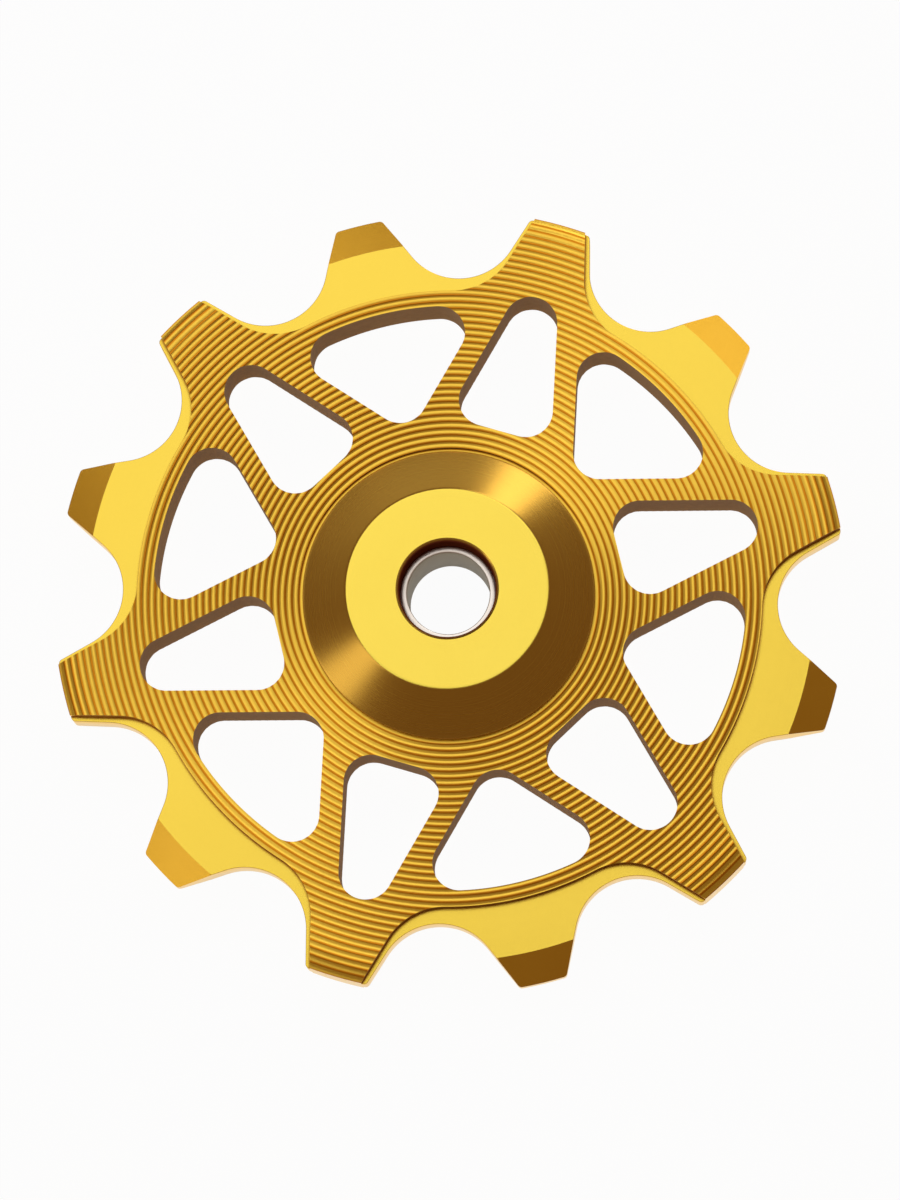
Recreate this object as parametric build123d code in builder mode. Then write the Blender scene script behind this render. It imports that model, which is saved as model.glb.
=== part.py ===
from build123d import *
from math import cos, hypot, radians, sin, tan
import os

# Narrow-wide jockey wheel of a bicycle's rear derailleur, with its bearing, bush and covers.
# Sizes are in millimetres and angles in degrees.
# The axle runs along Z, the origin is the middle of the wheel, and a wide tooth points along +X.
os.makedirs("parts", exist_ok=True)

# Chain that runs on the wheel
chain_pitch = 12.7
roller_diameter = 7.75

# Teeth: one plate carries them all, and every second one is thickened by the raised area
tooth_pairs = 6
tip_height = 0.45  # tooth tip above the chain's pitch circle
narrow_flank_angle = 25.0  # flank to the tooth's centre line
wide_flank_angle = 16.0
tip_corner = 0.3  # rounding of a tooth's corners, seen along the axle
plate_thickness = 1.9
narrow_bevel = 2.0  # radial length of the bevel on a narrow tooth's tip
narrow_tip = 0.8  # thickness left at a narrow tooth's tip

# Raised area: hub, spokes, rim and wide teeth
wheel_thickness = 3.6
rim_ledge = 1.0  # low ledge between the raised rim and the gullets
rim_width = 1.0  # raised rim outside the rim windows
raised_tip_width = 3.3  # raised area across a wide tooth's tip
raised_flank_angle = 15.0
raised_root_fillet = 4.2
wide_taper = 1.1  # radial length of the taper on a wide tooth's tip
wide_tip = 2.9  # thickness left at a wide tooth's tip

# Windows and the spokes between them
hub_flat = 11.0  # axle to the flat inner side of a tooth window
spoke_width = 1.4
spoke_foot = 0.79  # where a spoke leaves the hub, as a share of the step from wide to narrow tooth
spoke_head = 0.21  # where it meets the rim, as a share of the same step
window_corner = 1.7

# Ball bearing
bearing_bore = 6.0
bearing_diameter = 12.0
bearing_width = 4.0
ball_count = 7
ball_diameter = 1.588
race_play = 0.03  # ball to raceway
pocket_play = 0.05  # ball to cage
shoulder_space = 1.2  # radial space between the two rings
cage_wall = 0.8
cage_bar = 0.25  # cage left above and below a ball
seal_thickness = 0.35
seal_recess = 0.15  # seal below the bearing's face
seal_play = 0.1  # seal lip to inner ring

# Bush inside the bearing, bored for the derailleur's bolt
bush_bore = 5.2
bush_length = 4.8
bush_chamfer = 0.12

# Covers, clamped against the inner ring from both sides
hub_width = 8.2  # over both covers
cover_diameter = 18.4
cover_face_diameter = 12.7
cover_rim = 0.3  # upright edge round the foot of the cone
cover_bore_play = 0.03  # bush to cover
cover_chamfer = 0.2  # at the mouth of the cover's bore
boss_diameter = 7.6  # part of the cover that bears on the inner ring
bearing_space = 0.25  # cover to outer ring and seal
recess_depth = 0.3  # recess in the wheel that the cover's edge turns in
recess_play = 0.25  # cover's edge to the side of the recess
recess_space = 0.2  # cover's edge to the floor of the recess

# Radii, heights and angles that follow from the sizes above
teeth = 2 * tooth_pairs
tooth_step = 360 / teeth
pitch_radius = chain_pitch / (2 * sin(radians(180 / teeth)))
seat_radius = roller_diameter / 2
tip_radius = pitch_radius + tip_height
rim_radius = pitch_radius - seat_radius - rim_ledge
outside = tip_radius + 1  # radius that is clear of the wheel
face = wheel_thickness / 2
bearing_face = bearing_width / 2
ball_radius = ball_diameter / 2
ball_orbit = (bearing_bore + bearing_diameter) / 4
inner_shoulder = ball_orbit - shoulder_space / 2
outer_shoulder = ball_orbit + shoulder_space / 2
seal_top = bearing_face - seal_recess
cover_radius = cover_diameter / 2
cover_bore = bearing_bore / 2 + cover_bore_play
cover_foot = face - recess_depth + recess_space
cover_ceiling = bearing_face + bearing_space

# A spoke's centre line runs from its foot on the hub to its head on the rim.
foot = Vector(hub_flat, 0).rotate(Axis.Z, spoke_foot * tooth_step)
head = Vector(rim_radius, 0).rotate(Axis.Z, spoke_head * tooth_step)
along_spoke = (head - foot).normalized()
half_spoke = along_spoke.rotate(Axis.Z, 90) * (spoke_width / 2)

# A tooth window ends at the spoke's edge that faces the wide tooth.
tooth_edge = foot - half_spoke
tooth_slope = along_spoke.Y / along_spoke.X
tooth_apex = tooth_edge.X - tooth_edge.Y / tooth_slope
tooth_base = tooth_edge.Y + (hub_flat - tooth_edge.X) * tooth_slope

# A rim window ends at the other edge, here turned so that the narrow tooth points along +X.
rim_edge = (foot + half_spoke).rotate(Axis.Z, -tooth_step)
along_rim_edge = along_spoke.rotate(Axis.Z, -tooth_step)
rim_slope = along_rim_edge.Y / along_rim_edge.X
rim_apex = rim_edge.X - rim_edge.Y / rim_slope
rim_base = (outside - rim_apex) * abs(rim_slope)


def corners_at(sketch, radius):
    """The corners of a sketch that lie on a circle about the axle."""
    return [corner for corner in sketch.vertices() if abs(hypot(corner.X, corner.Y) - radius) < 0.001]


def flank_ends(flank_angle, side):
    """The ends of a tooth's flank, from the roller's seat outward, beside a gullet along +X."""
    opening = radians(flank_angle + tooth_step / 2)
    seat_x = pitch_radius - seat_radius * sin(opening)
    seat_y = seat_radius * cos(opening)
    outer_y = seat_y + (outside - seat_x) * tan(opening)
    return (seat_x, side * seat_y), (outside, side * outer_y)


# Space between two teeth: the roller's seat, opened outward along both flanks
with BuildSketch() as gullet:
    narrow_seat, narrow_outer = flank_ends(narrow_flank_angle, 1)
    wide_seat, wide_outer = flank_ends(wide_flank_angle, -1)
    with Locations((pitch_radius, 0)):
        Circle(seat_radius)
    Polygon(narrow_seat, wide_seat, wide_outer, narrow_outer, align=None)

with BuildSketch() as mirrored_gullet:
    mirror(gullet.sketch, about=Plane.XZ)

with BuildSketch() as tooth_plan:
    Circle(tip_radius)
    with PolarLocations(0, tooth_pairs, start_angle=tooth_step / 2):
        add(gullet.sketch, mode=Mode.SUBTRACT)
    with PolarLocations(0, tooth_pairs, start_angle=-tooth_step / 2):
        add(mirrored_gullet.sketch, mode=Mode.SUBTRACT)
    fillet(corners_at(tooth_plan, tip_radius), tip_corner)

# Raised area: the rim's disc with a wedge on each wide tooth
with BuildSketch() as raised_plan:
    Circle(rim_radius)
    wedge_slope = tan(radians(raised_flank_angle))
    root_x = rim_radius - 2
    root_y = raised_tip_width / 2 + (tip_radius - root_x) * wedge_slope
    end_y = raised_tip_width / 2 - (outside - tip_radius) * wedge_slope
    with PolarLocations(0, tooth_pairs):
        Polygon((root_x, root_y), (root_x, -root_y), (outside, -end_y), (outside, end_y), align=None)
    Circle(tip_radius, mode=Mode.INTERSECT)
    fillet(corners_at(raised_plan, rim_radius), raised_root_fillet)

# Window in line with a wide tooth: flat side at the hub, point towards the tooth
with BuildSketch() as tooth_window:
    Polygon((hub_flat, tooth_base), (hub_flat, -tooth_base), (tooth_apex, 0), align=None)
    fillet(tooth_window.vertices(), window_corner)

# Window in line with a narrow tooth: point at the hub, round side along the rim
with BuildSketch() as rim_window:
    Polygon((rim_apex, 0), (outside, -rim_base), (outside, rim_base), align=None)
    Circle(rim_radius - rim_width, mode=Mode.INTERSECT)
    fillet(rim_window.vertices(), window_corner)

# Bevel of one narrow tooth on both sides, turned about the axle over one tooth step
with BuildPart() as narrow_bevel_cut:
    with BuildSketch(Plane.XZ):
        bevel_slope = (plate_thickness - narrow_tip) / 2 / narrow_bevel
        Polygon(
            (tip_radius - narrow_bevel, plate_thickness / 2),
            (outside, narrow_tip / 2 - (outside - tip_radius) * bevel_slope),
            (outside, plate_thickness),
            (tip_radius - narrow_bevel, plate_thickness),
            align=None,
        )
    revolve(axis=Axis.Z, revolution_arc=tooth_step)
    mirror(about=Plane.XY)

# Taper of the wide teeth on both sides, turned all the way round
with BuildPart() as wide_taper_cut:
    with BuildSketch(Plane.XZ):
        taper_slope = (wheel_thickness - wide_tip) / 2 / wide_taper
        Polygon(
            (tip_radius - wide_taper, face),
            (outside, wide_tip / 2 - (outside - tip_radius) * taper_slope),
            (outside, wheel_thickness),
            (tip_radius - wide_taper, wheel_thickness),
            align=None,
        )
    revolve(axis=Axis.Z)
    mirror(about=Plane.XY)

with BuildPart() as pulley_wheel:
    add(tooth_plan.sketch)
    extrude(amount=plate_thickness / 2, both=True)
    with PolarLocations(0, tooth_pairs, start_angle=tooth_step / 2):
        add(narrow_bevel_cut.part, mode=Mode.SUBTRACT)
    add(raised_plan.sketch)
    extrude(amount=face, both=True)
    add(wide_taper_cut.part, mode=Mode.SUBTRACT)
    with BuildSketch():
        with PolarLocations(0, tooth_pairs):
            add(tooth_window.sketch)
        with PolarLocations(0, tooth_pairs, start_angle=tooth_step):
            add(rim_window.sketch)
    extrude(amount=wheel_thickness, both=True, mode=Mode.SUBTRACT)
    Cylinder(bearing_diameter / 2, 2 * wheel_thickness, mode=Mode.SUBTRACT)
    with Locations((0, 0, face), (0, 0, -face)):
        Cylinder(cover_radius + recess_play, 2 * recess_depth, mode=Mode.SUBTRACT)
pulley_wheel.part.label = "pulley_wheel"
export_step(pulley_wheel.part, "parts/pulley_wheel.step")

with BuildPart() as bearing_inner_ring:
    with BuildSketch(Plane.XZ):
        ring_wall = inner_shoulder - bearing_bore / 2
        with Locations((inner_shoulder - ring_wall / 2, 0)):
            Rectangle(ring_wall, bearing_width)
        with Locations((ball_orbit, 0)):
            Circle(ball_radius + race_play, mode=Mode.SUBTRACT)
    revolve(axis=Axis.Z)
bearing_inner_ring.part.label = "bearing_inner_ring"
export_step(bearing_inner_ring.part, "parts/bearing_inner_ring.step")

with BuildPart() as bearing_outer_ring:
    with BuildSketch(Plane.XZ):
        ring_wall = bearing_diameter / 2 - outer_shoulder
        with Locations((outer_shoulder + ring_wall / 2, 0)):
            Rectangle(ring_wall, bearing_width)
        with Locations((ball_orbit, 0)):
            Circle(ball_radius + race_play, mode=Mode.SUBTRACT)
    revolve(axis=Axis.Z)
bearing_outer_ring.part.label = "bearing_outer_ring"
export_step(bearing_outer_ring.part, "parts/bearing_outer_ring.step")

with BuildPart() as front_seal:
    with BuildSketch(Plane.XZ):
        seal_wall = shoulder_space - seal_play
        with Locations((outer_shoulder - seal_wall / 2, seal_top - seal_thickness / 2)):
            Rectangle(seal_wall, seal_thickness)
    revolve(axis=Axis.Z)
front_seal.part.label = "front_seal"
export_step(front_seal.part, "parts/front_seal.step")

with BuildPart() as back_seal:
    mirror(front_seal.part, about=Plane.XY)
back_seal.part.label = "back_seal"
export_step(back_seal.part, "parts/back_seal.step")

with BuildPart() as ball_cage:
    pocket = ball_diameter + 2 * pocket_play
    with BuildSketch(Plane.XZ):
        with Locations((ball_orbit, 0)):
            Rectangle(cage_wall, pocket + 2 * cage_bar)
    revolve(axis=Axis.Z)
    with PolarLocations(ball_orbit, ball_count):
        Box(2 * cage_wall, pocket, pocket, mode=Mode.SUBTRACT)
ball_cage.part.label = "ball_cage"
export_step(ball_cage.part, "parts/ball_cage.step")

for number in range(ball_count):
    with BuildPart() as ball:
        with Locations(Vector(ball_orbit, 0).rotate(Axis.Z, number * 360 / ball_count)):
            Sphere(ball_radius)
    ball.part.label = f"ball_{number + 1}"
    export_step(ball.part, f"parts/ball_{number + 1}.step")

with BuildPart() as axle_bush:
    with BuildSketch(Plane.XZ):
        bush_wall = (bearing_bore - bush_bore) / 2
        with Locations((bush_bore / 2 + bush_wall / 2, 0)):
            Rectangle(bush_wall, bush_length)
    revolve(axis=Axis.Z)
    chamfer(axle_bush.edges().filter_by(GeomType.CIRCLE), bush_chamfer)
axle_bush.part.label = "axle_bush"
export_step(axle_bush.part, "parts/axle_bush.step")

# The cover's boss stands on the inner ring, and the rest is hollowed to clear what turns.
with BuildPart() as front_cover:
    with BuildSketch(Plane.XZ):
        Polygon(
            (cover_bore, bearing_face),
            (boss_diameter / 2, bearing_face),
            (boss_diameter / 2, cover_ceiling),
            (bearing_diameter / 2 + bearing_space, cover_ceiling),
            (bearing_diameter / 2 + bearing_space, cover_foot),
            (cover_radius, cover_foot),
            (cover_radius, cover_foot + cover_rim),
            (cover_face_diameter / 2, hub_width / 2),
            (cover_bore + cover_chamfer, hub_width / 2),
            (cover_bore, hub_width / 2 - cover_chamfer),
            align=None,
        )
    revolve(axis=Axis.Z)
front_cover.part.label = "front_cover"
export_step(front_cover.part, "parts/front_cover.step")

with BuildPart() as back_cover:
    mirror(front_cover.part, about=Plane.XY)
back_cover.part.label = "back_cover"
export_step(back_cover.part, "parts/back_cover.step")
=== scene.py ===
from math import cos, pi, radians, sin, sqrt
import bmesh
import bpy
from mathutils import Matrix, Vector


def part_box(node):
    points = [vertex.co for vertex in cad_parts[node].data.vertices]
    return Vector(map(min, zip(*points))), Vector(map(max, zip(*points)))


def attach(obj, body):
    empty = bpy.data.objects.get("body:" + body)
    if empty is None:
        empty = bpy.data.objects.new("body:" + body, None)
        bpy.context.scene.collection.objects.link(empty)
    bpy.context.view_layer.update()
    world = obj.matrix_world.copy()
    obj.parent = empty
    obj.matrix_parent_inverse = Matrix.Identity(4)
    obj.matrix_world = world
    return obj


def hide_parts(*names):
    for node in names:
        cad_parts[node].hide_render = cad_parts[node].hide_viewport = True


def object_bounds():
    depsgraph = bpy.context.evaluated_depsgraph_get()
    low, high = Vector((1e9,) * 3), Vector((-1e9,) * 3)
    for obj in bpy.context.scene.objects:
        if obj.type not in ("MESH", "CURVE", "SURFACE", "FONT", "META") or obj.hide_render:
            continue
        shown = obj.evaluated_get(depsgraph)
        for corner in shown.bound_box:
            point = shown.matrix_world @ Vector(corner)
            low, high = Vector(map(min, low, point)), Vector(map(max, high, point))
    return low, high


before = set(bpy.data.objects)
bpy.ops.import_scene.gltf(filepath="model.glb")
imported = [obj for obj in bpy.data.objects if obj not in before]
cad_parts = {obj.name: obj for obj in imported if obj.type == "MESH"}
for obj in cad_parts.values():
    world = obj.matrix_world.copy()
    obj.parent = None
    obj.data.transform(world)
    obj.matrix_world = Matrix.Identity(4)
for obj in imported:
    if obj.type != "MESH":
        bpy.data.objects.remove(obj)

# Jockey wheel of a bicycle's rear derailleur, in metres, in the frame of the solids.
# The axle runs along Z and a wide tooth points along +X. Angles are in degrees.
mm = 0.001
cad_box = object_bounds()

# Sizes that the solids give
tip_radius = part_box("pulley_wheel")[1].x
wheel_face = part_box("pulley_wheel")[1].z
cover_low, cover_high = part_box("front_cover")
cover_radius = cover_high.x
cover_foot = cover_low.z
hub_face = cover_high.z
bush_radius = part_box("axle_bush")[1].x
bush_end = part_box("axle_bush")[1].z

# Teeth, cut in one plate for a chain of that pitch
tooth_pairs = 6
tooth_step = 180 / tooth_pairs
chain_pitch = 12.7 * mm
pitch_radius = chain_pitch / (2 * sin(radians(tooth_step / 2)))
seat_radius = 3.875 * mm
narrow_flank_angle = 25
wide_flank_angle = 16
tip_corner = 0.3 * mm
plate_face = 0.95 * mm
narrow_bevel = 2.0 * mm  # radial length of the bevel on a narrow tooth's tip
narrow_bevel_drop = 0.55 * mm

# Raised hub, spokes, rim and wide teeth
rim_ledge = 1.0 * mm
rim_radius = pitch_radius - seat_radius - rim_ledge
rim_width = 1.0 * mm
raised_tip_width = 3.3 * mm
raised_flank_angle = 15
raised_root_fillet = 4.2 * mm
wide_taper = 1.7 * mm  # radial length of the taper on a wide tooth's tip
wide_taper_drop = 0.35 * mm
bearing_radius = 6.0 * mm
recess_radius = 9.45 * mm
recess_floor = 1.5 * mm

# Windows and the spokes between them
hub_flat = 11.0 * mm
spoke_width = 1.4 * mm
spoke_foot = 0.79 * tooth_step
spoke_head = 0.21 * tooth_step
window_corner = 1.7 * mm

# Grooves that the lathe leaves on the raised faces
groove_pitch = 0.432 * mm
groove_depth = 0.06 * mm
groove_curve = 1.4  # 1 for straight sides, 2 for a round bottom
groove_bottom = 0.55  # where across a groove it is deepest, as a share of the pitch from the axle's side
taper_groove_share = 0.4  # of the grooves' depth left at the very tip of a wide tooth

# Bush
bush_bore_radius = 2.6 * mm

# Covers
cover_face_radius = 6.35 * mm
cover_bore_radius = 3.03 * mm
cover_bore_chamfer = 0.2 * mm
cover_rim = 0.3 * mm
boss_radius = 3.8 * mm
boss_foot = 2.0 * mm
cover_ceiling = 2.25 * mm
cover_hollow_radius = 6.25 * mm

# Edges, and those that stay sharp when a piece is smoothed
broken_edge = 0.06 * mm
tooth_edge = 0.03 * mm
wheel_sharp_angle = 28
bush_sharp_angle = 40
cover_sharp_angle = 20
flat_enough = 0.9998  # a face whose normal has this share along the axle stays flat

# How finely the shapes are made
clear = 1.0 * mm  # how far a cutting shape stands out of what it cuts
arc_error = 0.0015 * mm  # how far the steps of an arc stay inside it
same_place = 0.001 * mm  # corners closer than this become one
near = 0.01 * mm  # margin when corners are picked by their place
groove_cuts = 10  # straight steps across one groove
turning_steps = 180  # round the wheel
cover_steps = 240  # round the covers and the bush
bevel_steps = 16  # round one narrow tooth's bevel
long_side = 2.0 * mm  # a cover's sides longer than this are cut up
side_cuts = 24

# Floor, and how far a wide tooth is turned from the picture's right
floor_radius = 3.0
floor_drop = 0.02 * mm  # below the lower cover
floor_white = 0.96  # share of the floor that shows plain white; the rest shows the shadow
picture_turn = 13.5


class Value:
    """What varies over a surface. Sums and products of it become Math nodes."""

    def __init__(self, finish, socket):
        self.finish = finish
        self.socket = socket

    def maths(self, operation, first, second=0.0):
        return self.finish.node("ShaderNodeMath", {"operation": operation}, {0: first, 1: second})

    def __add__(self, other):
        return self.maths("ADD", self, other)

    __radd__ = __add__

    def __sub__(self, other):
        return self.maths("SUBTRACT", self, other)

    def __rsub__(self, other):
        return self.maths("SUBTRACT", other, self)

    def __mul__(self, other):
        return self.maths("MULTIPLY", self, other)

    __rmul__ = __mul__

    def __truediv__(self, other):
        return self.maths("DIVIDE", self, other)

    def __rtruediv__(self, other):
        return self.maths("DIVIDE", other, self)

    def cosine(self):
        return self.maths("COSINE", self)

    def size(self):
        return self.maths("ABSOLUTE", self)


class Finish:
    """The nodes of a material, or of the room, around one shader."""

    def __init__(self, owner, shader="Principled BSDF"):
        owner.use_nodes = True
        self.owner = owner
        self.tree = owner.node_tree
        self.shader = self.tree.nodes[shader]

    def node(self, kind, settings=None, sockets=None, output=0):
        """Adds a node, sets it up, feeds its sockets and returns one of its outputs."""
        node = self.tree.nodes.new(kind)
        for name, setting in (settings or {}).items():
            setattr(node, name, setting)
        for name, feed in (sockets or {}).items():
            self.feed(node.inputs[name], feed)
        return Value(self, node.outputs[output])

    def feed(self, socket, feed):
        if isinstance(feed, Value):
            self.tree.links.new(feed.socket, socket)
        elif socket.type == "RGBA":
            socket.default_value = (*feed, 1.0)
        else:
            socket.default_value = feed

    def set(self, **sockets):
        """Feeds the shader's own sockets and returns the material. An underscore stands for a space."""
        for name, feed in sockets.items():
            self.feed(self.shader.inputs[name.replace("_", " ")], feed)
        return self.owner

    def place(self):
        return self.node("ShaderNodeTexCoord", output="Object")

    def normal(self):
        return self.node("ShaderNodeTexCoord", output="Normal")

    def along_axle(self, vector):
        return self.node("ShaderNodeSeparateXYZ", sockets={0: vector}, output="Z")

    def radius(self):
        """Distance from the axle, in millimetres."""
        flat = self.node("ShaderNodeVectorMath", {"operation": "MULTIPLY"}, {0: self.place(), 1: (1, 1, 0)})
        return self.node("ShaderNodeVectorMath", {"operation": "LENGTH"}, {0: flat}, output="Value") / mm

    def height(self):
        """Distance from the wheel's middle plane, in millimetres."""
        return self.along_axle(self.place()).size() / mm

    def upright(self):
        """1 on faces across the axle, 0 on walls along it."""
        return self.along_axle(self.normal()).size()

    def outward(self):
        """Above 0 where a wall faces away from the axle, below 0 where it faces the axle."""
        facing = {0: self.normal(), 1: self.place()}
        return self.node("ShaderNodeVectorMath", {"operation": "DOT_PRODUCT"}, facing, output="Value") / mm

    def corner(self, reach):
        """Falls towards 0 in a hollow corner of the piece itself and is 1 in the open."""
        settings = {"samples": 6, "only_local": True}
        return self.node("ShaderNodeAmbientOcclusion", settings, {"Distance": reach}, output="AO")

    def step(self, value, low, high):
        """0 below low, 1 above high, smooth between."""
        sockets = {"Value": value, "From Min": low, "From Max": high}
        return self.node("ShaderNodeMapRange", {"interpolation_type": "SMOOTHSTEP"}, sockets)

    def mix(self, share, first, second):
        """A colour between two, by share."""
        return self.node("ShaderNodeMix", {"data_type": "RGBA"}, {0: share, 6: first, 7: second}, output=2)

    def noise(self, size, detail=2.0):
        """Soft random patches of about that size, from 0 to 1."""
        sockets = {"Vector": self.place(), "Scale": 1 / size, "Detail": detail}
        return self.node("ShaderNodeTexNoise", sockets=sockets)

    def rings(self, radius, size):
        """Random rings round the axle about that many millimetres wide, from 0 to 1."""
        sockets = {"W": radius, "Scale": 1 / size, "Detail": 3.0}
        return self.node("ShaderNodeTexNoise", {"noise_dimensions": "1D"}, sockets)

    def bump(self, height, depth):
        """A normal from a height that runs from 0 to 1 over depth metres."""
        return self.node("ShaderNodeBump", sockets={"Height": height, "Distance": depth, "Strength": 1.0})


def gold_wheel():
    """Gold anodised aluminium: turned raised faces, smooth plate and bright outer walls, with painted light
    and shade: light and dark groove lines, darker bevels, a dark line at the foot of the raised faces,
    darker raised sides and dark, less metallic window walls.
    """
    finish = Finish(bpy.data.materials.new("gold_anodised_wheel"))
    plate_top = plate_face / mm
    rim = rim_radius / mm
    tip = tip_radius / mm
    radius = finish.radius()
    marks = finish.rings(radius, 0.05)
    cloud = finish.noise(6 * mm)
    grain = finish.noise(2 * mm)
    upright = finish.upright()
    face = finish.step(upright, 0.15, 0.5)
    raised = finish.step(finish.height(), plate_top + 0.03, plate_top + 0.07)
    # Plate, the bevels on its narrow teeth painted darker than the flat as shade, and a line of painted
    # shade along the foot of the raised faces
    flat = finish.mix(cloud, (0.91, 0.69, 0.084), (0.93, 0.71, 0.092))
    # Painted shade: the sloping bevels get a darker copy of the plate's gold
    bevel = finish.mix(grain, (0.85, 0.49, 0.045), (0.89, 0.53, 0.053))
    plate = finish.mix(finish.step(upright, 0.975, 0.992), bevel, flat)
    # Painted shade: ambient occlusion darkens the plate to dark brown where it meets the raised faces
    clear_of_corner_shade = finish.step(finish.corner(0.3 * mm), 0.55, 0.8)
    plate = finish.mix(clear_of_corner_shade, (0.25, 0.06, 0.008), plate)
    # Raised faces: painted highlight along the bottom of each groove and painted shade along each crest,
    # lit and shaded copies of the one gold
    turns = (radius - recess_radius / mm) * (mm / groove_pitch)
    crest = finish.step((2 * pi * turns).cosine(), 0.1, 0.8)
    lit_bottoms = finish.mix(cloud, (0.94, 0.63, 0.074), (0.97, 0.67, 0.082))
    shaded_crests = finish.mix(grain, (0.68, 0.26, 0.012), (0.74, 0.3, 0.018))
    grooved = finish.mix(crest, lit_bottoms, shaded_crests)
    # Walls: bright gold round the outside, painted shade along the raised sides, and window walls that are
    # less metallic and painted dark as shade
    outer = finish.step(finish.outward(), 0.0, 2.0) * finish.step(radius, rim - 0.76, rim - 0.46)
    # Painted shade: the raised sides, short of the last few tenths of a millimetre before a wide tooth's
    # tip, get a dark copy of the gold
    sides = raised * (1 - finish.step(radius, tip - 0.38, tip - 0.18))
    # Painted shade: the window walls get a dark brown copy of the gold
    painted_wall_shade = finish.mix(finish.noise(0.4 * mm), (0.36, 0.21, 0.08), (0.46, 0.28, 0.11))
    bright = finish.mix(sides, (0.9, 0.56, 0.1), (0.45, 0.17, 0.025))
    wall = finish.mix(outer, painted_wall_shade, bright)
    return finish.set(
        Base_Color=finish.mix(face, wall, finish.mix(raised, plate, grooved)),
        Metallic=face + (1 - face) * (0.12 + 0.88 * outer),
        Roughness=0.2 + 0.08 * marks + 0.08 * raised * face + 0.06 * (1 - face),
        Specular_IOR_Level=0.0,
        Normal=finish.bump(marks, 0.0012 * mm),
    )


def gold_cover():
    """Gold anodised aluminium, fine-turned, with the cone painted darker than the flat ring as shade and
    painted shade in a bore that is not metallic.
    """
    finish = Finish(bpy.data.materials.new("gold_anodised_cover"))
    bore = cover_bore_radius / mm
    radius = finish.radius()
    marks = finish.rings(radius, 0.03)
    flat = finish.step(finish.upright(), 0.88, 0.97)
    ring = finish.mix(finish.noise(4 * mm), (0.93, 0.74, 0.102), (0.95, 0.77, 0.112))
    # Painted shade: the sloping cone gets a darker copy of the ring's gold, varied by the turning marks
    cone = finish.mix(marks, (0.54, 0.31, 0.044), (0.68, 0.4, 0.06))
    # Painted shade: inside the bore the cover is dark maroon and not metallic, outside it keeps the gold
    outside = finish.step(radius, bore + 0.03, bore + 0.17)
    return finish.set(
        Base_Color=finish.mix(outside, (0.16, 0.035, 0.015), finish.mix(flat, cone, ring)),
        Metallic=outside,
        Roughness=0.2 + 0.1 * marks,
        Specular_IOR_Level=0.0,
        Normal=finish.bump(marks, 0.0008 * mm),
    )


def bush_steel():
    """Turned steel: end faces painted bright as lit, and a less metallic bore painted brownish and darker
    as shade.
    """
    finish = Finish(bpy.data.materials.new("bush_steel"))
    marks = finish.rings(finish.radius(), 0.04)
    end = finish.step(finish.upright(), 0.3, 0.6)
    cloud = finish.noise(1.5 * mm)
    # Painted light and shade: the end faces get a near-white copy of the steel as lit, the bore a darker
    # brownish copy as shade
    bright = finish.mix(cloud, (0.93, 0.9, 0.84), (0.97, 0.95, 0.9))
    painted_wall_shade = finish.mix(cloud, (0.46, 0.4, 0.28), (0.56, 0.5, 0.37))
    return finish.set(
        Base_Color=finish.mix(end, painted_wall_shade, bright),
        Metallic=0.3 + 0.7 * end,
        Roughness=0.25 + 0.12 * marks,
        Specular_IOR_Level=0.0,
        Normal=finish.bump(marks, 0.0006 * mm),
    )


def bearing_ring_steel():
    """Ground steel of the bearing's rings."""
    finish = Finish(bpy.data.materials.new("bearing_ring_steel"))
    marks = finish.rings(finish.radius(), 0.04)
    return finish.set(
        Base_Color=finish.mix(finish.noise(1.5 * mm), (0.522, 0.513, 0.504), (0.58, 0.57, 0.56)),
        Metallic=1.0,
        Roughness=0.16 + 0.12 * marks,
        Normal=finish.bump(marks, 0.0006 * mm),
    )


def ball_steel():
    """Lapped steel of the balls, a little cloudy."""
    finish = Finish(bpy.data.materials.new("lapped_ball_steel"))
    cloud = finish.noise(0.25 * mm, 4.0)
    return finish.set(
        Base_Color=finish.mix(cloud, (0.56, 0.57, 0.58), (0.68, 0.68, 0.69)),
        Metallic=1.0,
        Roughness=0.06 + 0.08 * cloud,
    )


def seal_rubber():
    """Moulded black rubber with a fine matt grain."""
    finish = Finish(bpy.data.materials.new("seal_rubber"))
    grain = finish.noise(0.06 * mm, 3.0)
    return finish.set(
        Base_Color=finish.mix(grain, (0.012, 0.012, 0.013), (0.03, 0.03, 0.032)),
        Roughness=0.55 + 0.2 * grain,
        Normal=finish.bump(grain, 0.004 * mm),
    )


def cage_plastic():
    """Moulded nylon of the ball cage, off white and a little cloudy."""
    finish = Finish(bpy.data.materials.new("cage_nylon"))
    grain = finish.noise(0.04 * mm)
    return finish.set(
        Base_Color=finish.mix(finish.noise(0.5 * mm, 3.0), (0.5, 0.44, 0.32), (0.64, 0.58, 0.45)),
        Roughness=0.42 + 0.15 * grain,
        Normal=finish.bump(grain, 0.002 * mm),
    )


class Pen:
    """Draws a line of edges in straight runs and arcs, by its last vertex."""

    def __init__(self, shape, start):
        self.shape = shape
        self.tip = shape.verts.new(start)

    def line(self, *ends):
        for end in ends:
            self.tip = bmesh.ops.extrude_vert_indiv(self.shape, verts=[self.tip])["verts"][0]
            self.tip.co = end
        return self

    def arc(self, centre, end):
        """Goes round a centre in the wheel's middle plane, the short way, to where end is."""
        swing = (end - centre).xy.angle_signed((self.tip.co - centre).xy)
        step = sqrt(8 * arc_error / (end - centre).length)
        made = bmesh.ops.spin(
            self.shape,
            geom=[self.tip],
            axis=(0, 0, 1),
            cent=centre,
            angle=swing,
            steps=max(2, round(abs(swing) / step)),
        )
        self.tip = made["geom_last"][0]
        return self


axle = Vector((0, 0, 0))


def polar(radius, angle):
    """A point in the wheel's middle plane."""
    return Vector((radius * cos(radians(angle)), radius * sin(radians(angle)), 0))


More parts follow.
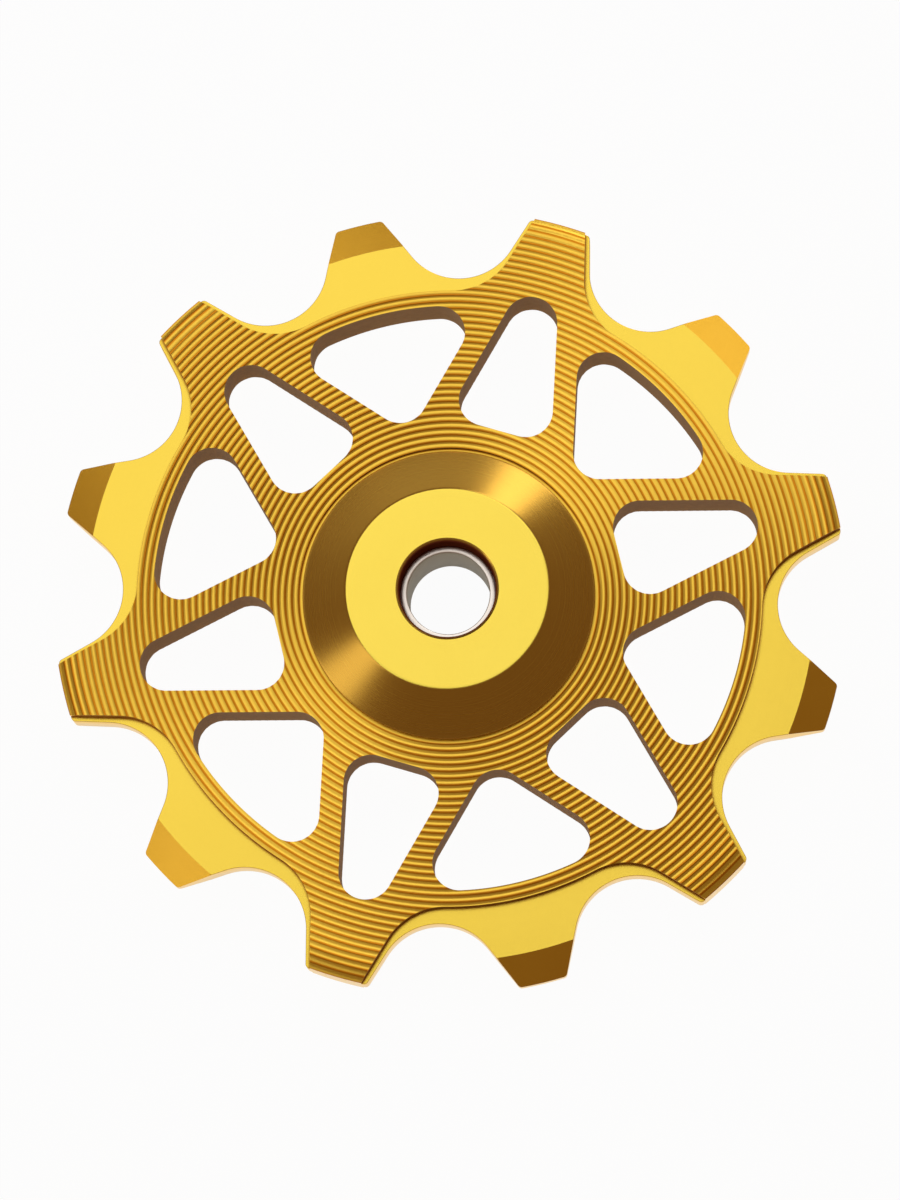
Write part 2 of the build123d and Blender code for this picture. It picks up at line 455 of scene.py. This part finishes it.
def turned(point, angle):
    return Matrix.Rotation(radians(angle), 3, "Z") @ point


def mirrored(point):
    return Vector((point.x, -point.y, point.z))


def where_out(point, along, radius):
    """Where a line from point leaves the circle of that radius about the axle."""
    nearest = point.dot(along)
    return point + along * (sqrt(nearest**2 - point.length_squared + radius**2) - nearest)


def outline(shape, *corners):
    """Draws a closed line in the plane of the axle, through corners given as radius and height."""
    start, *others = [(radius, 0, height) for radius, height in corners]
    Pen(shape, start).line(*others, start)
    join(shape)


def join(shape):
    """Makes corners that lie in one place one corner."""
    bmesh.ops.remove_doubles(shape, verts=shape.verts, dist=same_place)


def whole(shape):
    return shape.verts[:] + shape.edges[:] + shape.faces[:]


def rotate(shape, angle):
    """Turns a shape about the axle."""
    bmesh.ops.rotate(shape, cent=axle, matrix=Matrix.Rotation(radians(angle), 3, "Z"), verts=shape.verts)


def all_round(shape, count):
    """Repeats a shape round the axle and joins what touches."""
    bmesh.ops.spin(
        shape,
        geom=whole(shape),
        axis=(0, 0, 1),
        cent=axle,
        angle=2 * pi * (count - 1) / count,
        steps=count - 1,
        use_duplicate=True,
    )
    join(shape)


def both_sides(shape, axis):
    """Mirrors a shape and joins the halves."""
    bmesh.ops.mirror(shape, geom=whole(shape), axis=axis, merge_dist=same_place)


def thicken(shape, half):
    """Fills each closed outline and makes it a prism that reaches half to both sides."""
    bmesh.ops.edgeloop_fill(shape, edges=shape.edges)
    bmesh.ops.translate(shape, vec=(0, 0, -half), verts=shape.verts)
    extruded = bmesh.ops.extrude_face_region(shape, geom=shape.faces[:])["geom"]
    lifted = [part for part in extruded if isinstance(part, bmesh.types.BMVert)]
    bmesh.ops.translate(shape, vec=(0, 0, 2 * half), verts=lifted)
    bmesh.ops.recalc_face_normals(shape, faces=shape.faces)


def turn(shape, steps):
    """Turns a line in the plane of the axle into a ring."""
    bmesh.ops.spin(
        shape,
        geom=shape.verts[:] + shape.edges[:],
        axis=(0, 0, 1),
        cent=axle,
        angle=2 * pi,
        steps=steps,
        use_merge=True,
    )
    bmesh.ops.remove_doubles(shape, verts=shape.verts, dist=0.1 * same_place)
    bmesh.ops.recalc_face_normals(shape, faces=shape.faces)


def break_edges(shape, sharp, size, affect, segments):
    """Rounds off edges, or the corners of a line, by a small size."""
    bmesh.ops.bevel(
        shape,
        geom=sharp,
        offset=size,
        offset_type="OFFSET",
        affect=affect,
        segments=segments,
        profile=0.5,
        material=-1,
    )


def piece(name, shape):
    """An object of a finished shape, at the origin."""
    mesh = bpy.data.meshes.new(name)
    shape.to_mesh(mesh)
    shape.free()
    made = bpy.data.objects.new(name, mesh)
    bpy.context.scene.collection.objects.link(made)
    return made


def smooth_piece(name, shape, sharp_angle):
    """An object of a turned shape, smooth but for its sharp edges."""
    for face in shape.faces:
        face.smooth = True
    made = piece(name, shape)
    made.data.set_sharp_from_angle(angle=radians(sharp_angle))
    return made


def tooth_side(flank_angle):
    """Half of a tooth along +X: where its tip ends, its corner's centre, and the flank's two ends."""
    outward = polar(1, 90 - flank_angle)
    along = polar(1, -flank_angle)
    foot = polar(pitch_radius, tooth_step / 2) - seat_radius * outward
    corner = where_out(foot - tip_corner * outward, along, tip_radius - tip_corner)
    return tip_radius * corner.normalized(), corner, corner + tip_corner * outward, foot


def make_plate():
    """The plate that carries all the teeth, with broken edges."""
    shape = bmesh.new()
    wide_tip, wide_corner, wide_flank, wide_foot = tooth_side(wide_flank_angle)
    narrow_tip, narrow_corner, narrow_flank, narrow_foot = (
        turned(mirrored(point), tooth_step) for point in tooth_side(narrow_flank_angle)
    )
    pen = Pen(shape, (tip_radius, 0, 0))
    pen.arc(axle, wide_tip).arc(wide_corner, wide_flank).line(wide_foot)
    pen.arc(polar(pitch_radius, tooth_step / 2), narrow_foot)
    pen.line(narrow_flank).arc(narrow_corner, narrow_tip).arc(axle, polar(tip_radius, tooth_step))
    both_sides(shape, "Y")
    all_round(shape, tooth_pairs)
    thicken(shape, plate_face)
    round_faces = [edge for edge in shape.edges if edge.verts[0].co.z * edge.verts[1].co.z > 0]
    break_edges(shape, round_faces, tooth_edge, "EDGES", 2)
    return piece("plate", shape)


def make_tip_cutter():
    """What comes off both sides of the narrow teeth's tips, and out of the plate's middle."""
    shape = bmesh.new()
    fall = narrow_bevel_drop / narrow_bevel
    inner = tip_radius - narrow_bevel - clear
    outer = tip_radius + clear
    top = plate_face + clear
    low = plate_face - (outer - tip_radius + narrow_bevel) * fall
    outline(shape, (inner, plate_face + clear * fall), (outer, low), (outer, top), (inner, top))
    bmesh.ops.edgeloop_fill(shape, edges=shape.edges)
    rotate(shape, tooth_step / 2)
    bmesh.ops.spin(
        shape,
        geom=shape.faces[:],
        axis=(0, 0, 1),
        cent=axle,
        angle=radians(tooth_step),
        steps=bevel_steps,
    )
    both_sides(shape, "Z")
    all_round(shape, tooth_pairs)
    bmesh.ops.create_cone(
        shape,
        cap_ends=True,
        segments=turning_steps,
        radius1=recess_radius,
        radius2=recess_radius,
        depth=2 * top,
    )
    bmesh.ops.recalc_face_normals(shape, faces=shape.faces)
    return piece("tip_cutter", shape)


def make_raised_outline():
    """A tall prism over the hub, spokes, rim and wide teeth."""
    shape = bmesh.new()
    outward = polar(1, 90 - raised_flank_angle)
    along = polar(1, -raised_flank_angle)
    flank = Vector((tip_radius, raised_tip_width / 2, 0)) - rim_radius * along
    root = where_out(flank + raised_root_fillet * outward, along, rim_radius + raised_root_fillet)
    pen = Pen(shape, (tip_radius, 0, 0))
    pen.arc(axle, where_out(flank, along, tip_radius)).line(root - raised_root_fillet * outward)
    pen.arc(root, rim_radius * root.normalized()).arc(axle, polar(rim_radius, tooth_step))
    both_sides(shape, "Y")
    all_round(shape, tooth_pairs)
    thicken(shape, wheel_face + clear)
    return piece("raised_outline", shape)


def make_windows():
    """Tall prisms that cut both kinds of windows, with the spokes left between them."""
    foot = polar(hub_flat, spoke_foot)
    along = (polar(rim_radius, spoke_head) - foot).normalized()
    across = turned(along, 90)
    corner = Vector((window_corner, 0, 0))
    # Window in line with a wide tooth, under the spoke's near edge
    tooth_window = bmesh.new()
    edge = foot - (spoke_width / 2 + window_corner) * across
    base = edge + along * ((hub_flat + window_corner - edge.x) / along.x)
    apex = edge - along * (edge.y / along.y)
    pen = Pen(tooth_window, (hub_flat, 0, 0)).line((hub_flat, base.y, 0))
    pen.arc(base, base + window_corner * across).line(apex + window_corner * across)
    pen.arc(apex, apex + corner)
    # Window in line with a narrow tooth, beyond the far edge of the mirrored spoke
    rim_window = bmesh.new()
    across = mirrored(turned(across, -tooth_step))
    along = mirrored(turned(along, -tooth_step))
    edge = mirrored(turned(foot, -tooth_step)) + (spoke_width / 2 + window_corner) * across
    apex = edge - along * (edge.y / along.y)
    outer = rim_radius - rim_width
    head = where_out(edge, along, outer - window_corner)
    pen = Pen(rim_window, apex - corner)
    pen.arc(apex, apex - window_corner * across).line(head - window_corner * across)
    pen.arc(head, outer * head.normalized()).arc(axle, Vector((outer, 0, 0)))
    for window in (tooth_window, rim_window):
        both_sides(window, "Y")
        all_round(window, tooth_pairs)
        thicken(window, wheel_face + clear)
    rotate(rim_window, tooth_step)
    return piece("tooth_windows", tooth_window), piece("rim_windows", rim_window)


def make_blank():
    """The turned ring that the wheel is milled from, grooved by the lathe on both faces."""
    shape = bmesh.new()
    outside = tip_radius + clear
    taper_start = tip_radius - wide_taper
    pen = Pen(shape, (bearing_radius, 0, 0))
    pen.line((bearing_radius, 0, recess_floor), (recess_radius, 0, recess_floor))
    pen.line((recess_radius, 0, wheel_face))
    inner = pen.tip
    pen.line((outside, 0, wheel_face))
    face = shape.edges.get((inner, pen.tip))
    pen.line((outside, 0, 0))
    cuts = round(groove_cuts * (outside - recess_radius) / groove_pitch) - 1
    bmesh.ops.subdivide_edges(shape, edges=[face], cuts=cuts)
    for vert in shape.verts:
        if vert.co.z > recess_floor + near:
            place = (vert.co.x - recess_radius) / groove_pitch % 1 - groove_bottom
            reach = 1 - groove_bottom if place > 0 else groove_bottom
            fall = max(0, vert.co.x - taper_start) / wide_taper
            depth = groove_depth * (1 - (1 - taper_groove_share) * fall)
            groove = depth * (1 - abs(place / reach) ** groove_curve)
            vert.co.z -= groove + wide_taper_drop * fall**2
    both_sides(shape, "Z")
    turn(shape, turning_steps)
    return piece("grooved_wheel", shape)


def machine(work, *steps):
    """Cuts or joins other shapes with a piece, one after another, and removes them."""
    for operation, tool in steps:
        cut = work.modifiers.new(tool.name, "BOOLEAN")
        cut.operation = operation
        cut.solver = "MANIFOLD"
        cut.object = tool
    evaluated = work.evaluated_get(bpy.context.evaluated_depsgraph_get())
    finished = bpy.data.meshes.new_from_object(evaluated)
    work.modifiers.clear()
    work.data = finished
    for operation, tool in steps:
        bpy.data.objects.remove(tool)
    return work


def make_wheel():
    """Plate and turned blank as one piece, milled to the wheel's outline."""
    plate = machine(make_plate(), ("DIFFERENCE", make_tip_cutter()))
    tooth_windows, rim_windows = make_windows()
    wheel = machine(
        make_blank(),
        ("INTERSECT", make_raised_outline()),
        ("UNION", plate),
        ("DIFFERENCE", tooth_windows),
        ("DIFFERENCE", rim_windows),
    )
    wheel.data.set_sharp_from_angle(angle=radians(wheel_sharp_angle))
    for face in wheel.data.polygons:
        face.use_smooth = abs(face.normal.z) < flat_enough
    return wheel


def make_bush():
    """The plain bush that the bolt runs through, with broken edges."""
    shape = bmesh.new()
    outline(
        shape,
        (bush_bore_radius, -bush_end),
        (bush_radius, -bush_end),
        (bush_radius, bush_end),
        (bush_bore_radius, bush_end),
    )
    break_edges(shape, shape.verts[:], broken_edge, "VERTICES", 3)
    turn(shape, cover_steps)
    return smooth_piece("axle_bush_turned", shape, bush_sharp_angle)


def make_cover(name):
    """A cone with a flat ring, hollow underneath, on a boss that bears on the inner ring."""
    shape = bmesh.new()
    outline(
        shape,
        (cover_bore_radius, boss_foot),
        (boss_radius, boss_foot),
        (boss_radius, cover_ceiling),
        (cover_hollow_radius, cover_ceiling),
        (cover_hollow_radius, cover_foot),
        (cover_radius, cover_foot),
        (cover_radius, cover_foot + cover_rim),
        (cover_face_radius, hub_face),
        (cover_bore_radius + cover_bore_chamfer, hub_face),
        (cover_bore_radius, hub_face - cover_bore_chamfer),
    )
    outer = [vert for vert in shape.verts if vert.co.x > cover_face_radius - near]
    break_edges(shape, outer, broken_edge, "VERTICES", 3)
    sides = [edge for edge in shape.edges if edge.calc_length() > long_side]
    bmesh.ops.subdivide_edges(shape, edges=sides, cuts=side_cuts)
    turn(shape, cover_steps)
    if name.startswith("back"):
        bmesh.ops.scale(shape, vec=(1, 1, -1), verts=shape.verts)
        bmesh.ops.recalc_face_normals(shape, faces=shape.faces)
    return smooth_piece(name, shape, cover_sharp_angle)


wheel = make_wheel()
wheel.data.materials.clear()
wheel.data.materials.append(gold_wheel())
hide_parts("pulley_wheel")
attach(wheel, "wheel")

cover_finish = gold_cover()
for node in ("front_cover", "back_cover"):
    cover = make_cover(node + "_turned")
    cover.data.materials.append(cover_finish)
    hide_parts(node)
    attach(cover, "hub")

bush = make_bush()
bush.data.materials.append(bush_steel())
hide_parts("axle_bush")
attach(bush, "hub")

# The bearing keeps its solids.
rings, rubber, nylon, balls = bearing_ring_steel(), seal_rubber(), cage_plastic(), ball_steel()
bearing_finishes = {
    "bearing_inner_ring": rings,
    "bearing_outer_ring": rings,
    "front_seal": rubber,
    "back_seal": rubber,
    "ball_cage": nylon,
}
for name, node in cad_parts.items():
    if name.startswith("ball_") or name in bearing_finishes:
        for slot in node.material_slots:
            slot.material = bearing_finishes.get(name, balls)


def picture_place(right, up, height):
    """A place above the wheel, given along the picture's right and up and the axle."""
    return turned(Vector((right, up, height)), -picture_turn)


def around(azimuth, elevation, distance):
    """A place seen from the wheel: azimuth from the picture's right towards its top."""
    flat = polar(distance * cos(radians(elevation)), azimuth)
    return picture_place(flat.x, flat.y, distance * sin(radians(elevation)))


def aim(thing, place):
    """Puts a lamp or the camera at a place, looking at the middle of the wheel."""
    back = place.normalized()
    right = picture_place(0, 1, 0).cross(back).normalized()
    facing = Matrix((right, back.cross(right), back)).transposed().to_4x4()
    thing.matrix_world = Matrix.Translation(place) @ facing


def softbox(name, place, width, height, radiance):
    """A rectangular lamp that faces the wheel, as bright as radiance says."""
    lamp = bpy.data.lights.new(name, "AREA")
    lamp.shape = "RECTANGLE"
    lamp.size = width
    lamp.size_y = height
    lamp.energy = radiance * pi * width * height
    box = bpy.data.objects.new(name, lamp)
    bpy.context.scene.collection.objects.link(box)
    aim(box, place)
    box.visible_camera = False


softbox("overhead_softbox", picture_place(-0.074, 0.14, 0.35), 0.316, 0.34, 0.89)
softbox("right_softbox", around(54, 53, 0.4), 0.18, 0.18, 1.0)
softbox("left_softbox", around(212, 62, 0.4), 0.17, 0.14, 0.85)
softbox("low_right_softbox", around(67, 14, 0.4), 0.28, 0.12, 2.4)
softbox("low_left_softbox", around(209, 22, 0.4), 0.3, 0.12, 1.35)

# Room: dim and warm above, white near the horizon
studio = bpy.data.worlds.new("studio")
bpy.context.scene.world = studio
room = Finish(studio, "Background")
rise = room.along_axle(room.node("ShaderNodeTexCoord", output="Generated"))
above = room.step(rise, sin(radians(2)), sin(radians(7)))
room.set(Color=room.mix(above, (1, 1, 1), (0.22, 0.14, 0.095)))

# Floor under the lower cover: white, with the wheel's shadow
floor_shape = bmesh.new()
bmesh.ops.create_circle(floor_shape, cap_ends=True, segments=96, radius=floor_radius)
bmesh.ops.translate(floor_shape, vec=(0, 0, cad_box[0][2] - floor_drop), verts=floor_shape.verts)
floor = piece("floor", floor_shape)
floor_finish = Finish(bpy.data.materials.new("white_floor"))
white_floor = floor_finish.set(Base_Color=(0.9, 0.9, 0.9), Roughness=0.8, Specular_IOR_Level=0.0)
seen = floor_finish.node("ShaderNodeLightPath", output="Is Camera Ray")
reflected = floor_finish.node("ShaderNodeLightPath", output="Is Glossy Ray")
through = floor_finish.node("ShaderNodeLightPath", output="Is Transmission Ray")
white = floor_finish.node("ShaderNodeEmission", sockets={"Color": (1, 1, 1), "Strength": 1.0})
shaded = Value(floor_finish, floor_finish.shader.outputs[0])
shown = floor_finish.node(
    "ShaderNodeMixShader",
    sockets={0: floor_white * (seen + reflected + through), 1: shaded, 2: white},
)
floor_finish.feed(floor_finish.tree.nodes["Material Output"].inputs["Surface"], shown)
floor.data.materials.append(white_floor)

# Camera at the photograph's angle, from a little below the middle of the picture
eye = bpy.data.cameras.new("camera")
eye.sensor_fit = "HORIZONTAL"
eye.sensor_width = 36
eye.lens = 195
eye.clip_start = 0.01
camera = bpy.data.objects.new("camera", eye)
bpy.context.scene.collection.objects.link(camera)
aim(camera, picture_place(13.0 * mm, -54 * mm, 303 * mm))
bpy.context.scene.camera = camera
bpy.context.scene.view_settings.view_transform = "Standard"
